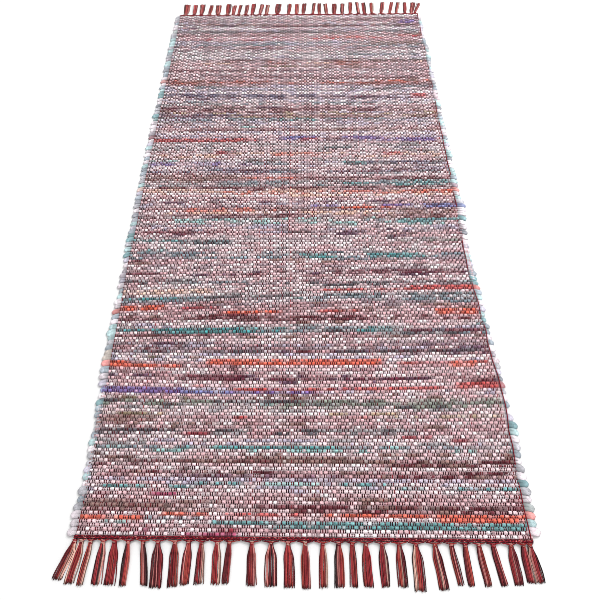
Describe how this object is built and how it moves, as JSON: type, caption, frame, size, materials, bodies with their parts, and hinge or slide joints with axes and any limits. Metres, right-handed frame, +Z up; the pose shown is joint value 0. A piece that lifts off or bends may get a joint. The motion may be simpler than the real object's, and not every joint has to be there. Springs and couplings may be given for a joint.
{
  "type": "kilim rug",
  "caption": "Long flat-woven kilim rug lying flat, with ribbed striped cloth, turned-weft sides, tight end headings and knotted warp tassels.",
  "frame": {"origin": "on the floor under the middle of the rug", "axes": "+Y along the rug from its near end to its far end, +X across it to the right, +Z up from the floor"},
  "size_m": [0.7098, 1.5372, 0.006],
  "materials": {
    "rag_weave": "matt cotton weft in broken stripes over dark red warps",
    "heading_yarn": "matt dark red cotton yarn",
    "warp_yarn": "matt cotton yarn in mixed reds, beige and near-black"
  },
  "bodies": {
    "root": {"woven_field": "rag_weave", "heading_near": "heading_yarn", "heading_far": "heading_yarn", "fringe_near": "warp_yarn", "fringe_far": "warp_yarn"}
  },
  "joints": []
}
